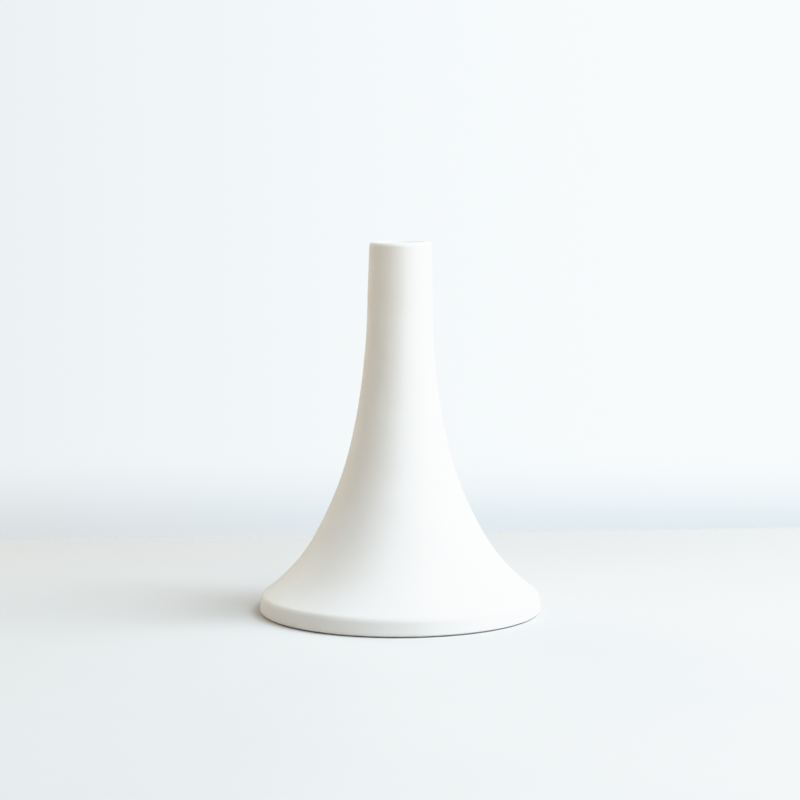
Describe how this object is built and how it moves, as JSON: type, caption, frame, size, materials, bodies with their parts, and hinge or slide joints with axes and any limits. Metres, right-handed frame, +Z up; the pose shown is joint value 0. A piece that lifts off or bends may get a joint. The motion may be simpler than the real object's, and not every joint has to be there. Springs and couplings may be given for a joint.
{
  "type": "bud vase",
  "caption": "Tall ceramic bud vase: a slender open neck flaring in one sweep to a broad round foot, glazed inside, standing on small rubber pads.",
  "frame": {"origin": "on the vase's axis, at the plane the foot pads rest on", "axes": "+Z up the neck; the vase is turned about Z; +X and +Y are level and lie midway between neighbouring foot pads"},
  "size_m": [0.1402, 0.1402, 0.1842],
  "materials": {
    "clay": "smooth matt white, unglazed",
    "glaze": "gloss clear over white",
    "pad_rubber": "frosted soft rubber"
  },
  "bodies": {
    "root": {"vase_body": "clay", "glaze_lining": "glaze", "foot_pad_1": "pad_rubber", "foot_pad_2": "pad_rubber", "foot_pad_3": "pad_rubber", "foot_pad_4": "pad_rubber"}
  },
  "joints": []
}
